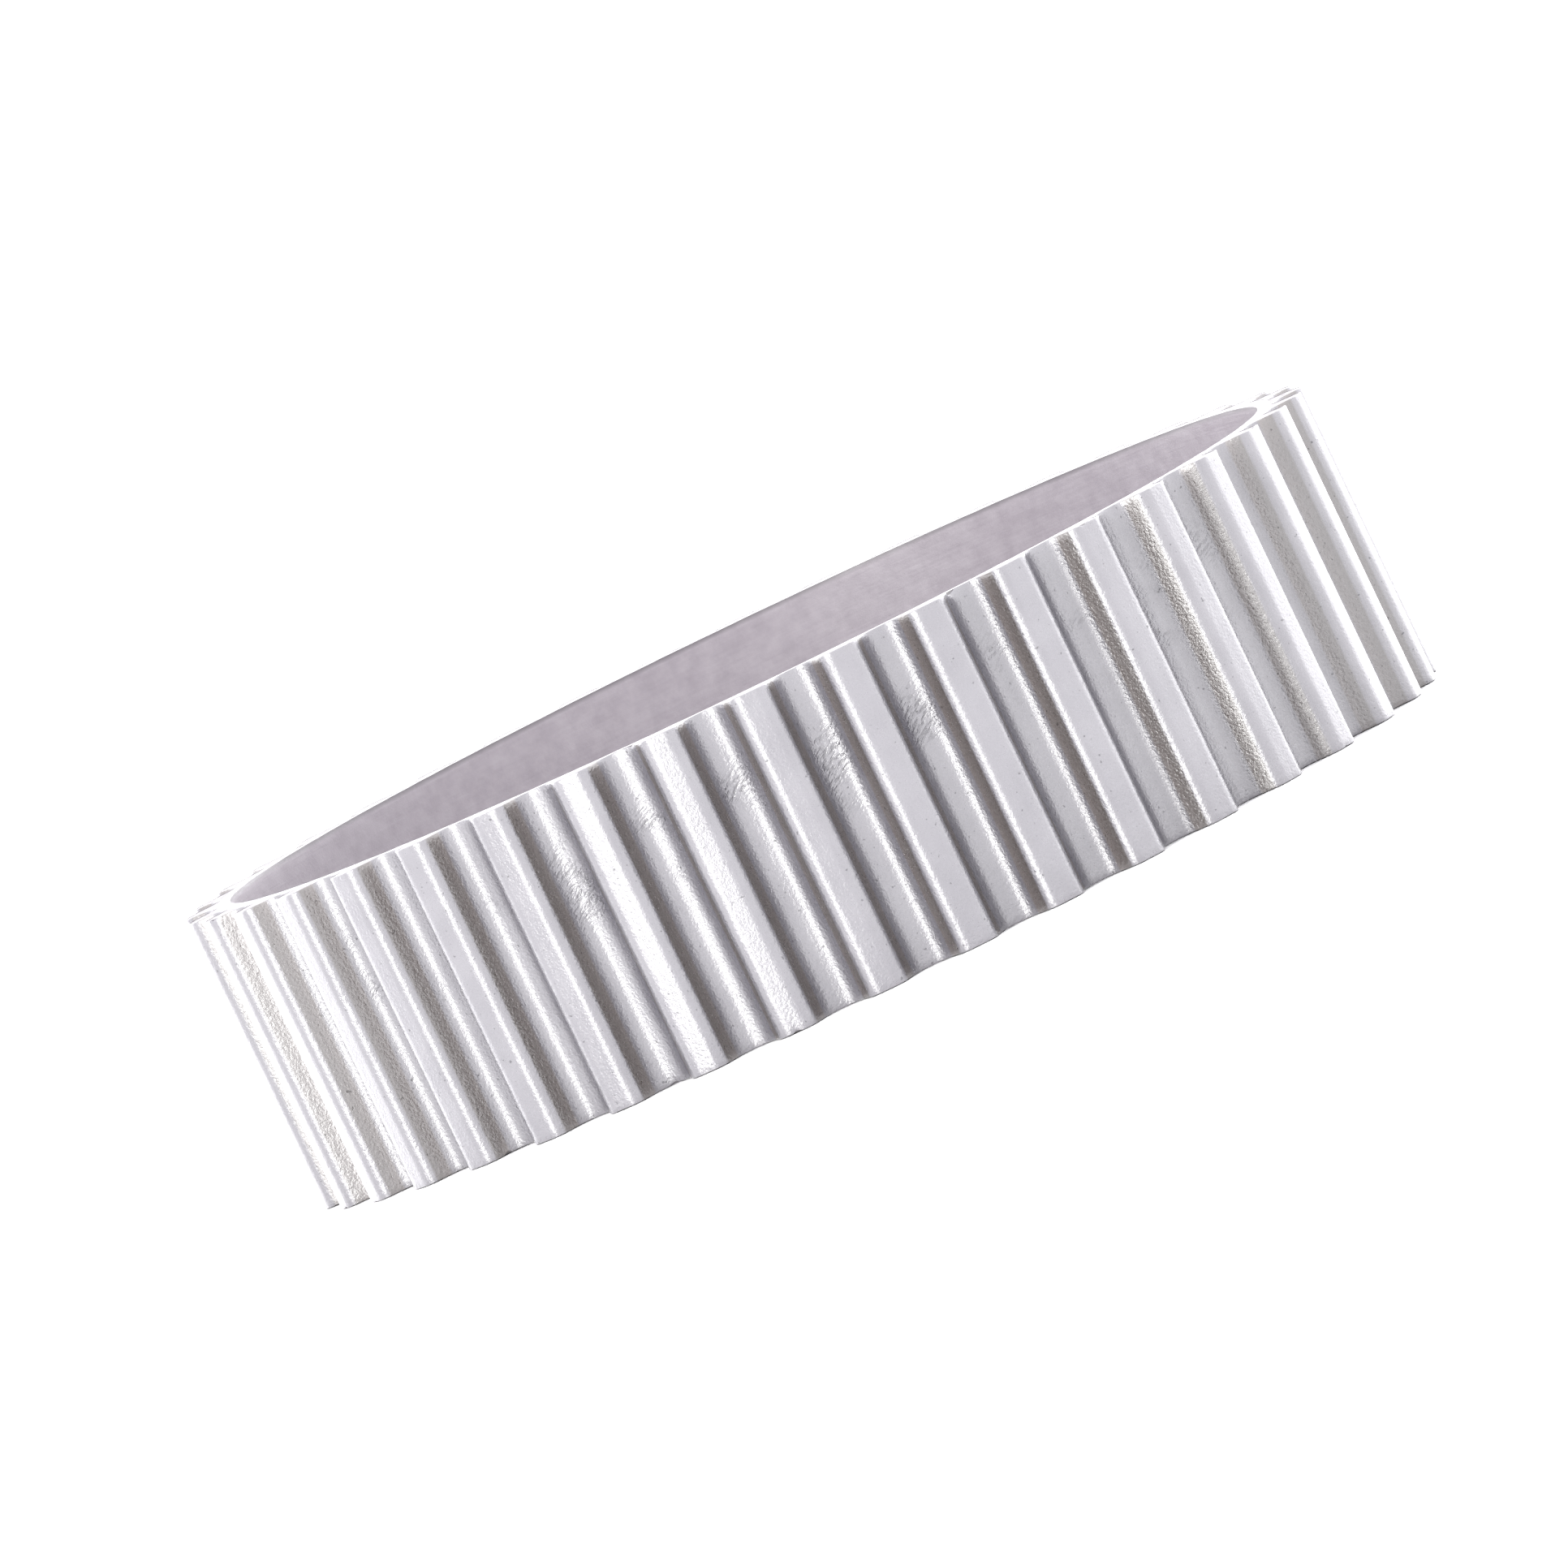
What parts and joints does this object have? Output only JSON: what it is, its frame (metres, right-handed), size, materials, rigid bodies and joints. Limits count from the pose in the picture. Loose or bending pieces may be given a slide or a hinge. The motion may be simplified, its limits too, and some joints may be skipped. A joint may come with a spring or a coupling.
{
  "type": "timing belt",
  "caption": "Endless timing belt: a round loop with rounded trapezoidal teeth all round the outside and a smooth inside.",
  "frame": {"origin": "centre of the loop, at the cut edge that the belt stands on", "axes": "+Z along the loop's axis, up out of the edge the belt stands on; a tooth is centred on each of +X, +Y, -X and -Y"},
  "size_m": [0.068, 0.068, 0.0173],
  "materials": {
    "backing_rubber": "satin",
    "cord_s": "satin",
    "cord_z": "satin",
    "tooth_rubber": "matt",
    "facing_fabric": "satin"
  },
  "bodies": {
    "root": {"backing": "backing_rubber", "tension_cord_s": "cord_s", "tension_cord_z": "cord_z", "tooth_rubber": "tooth_rubber", "tooth_facing": "facing_fabric"}
  },
  "joints": []
}
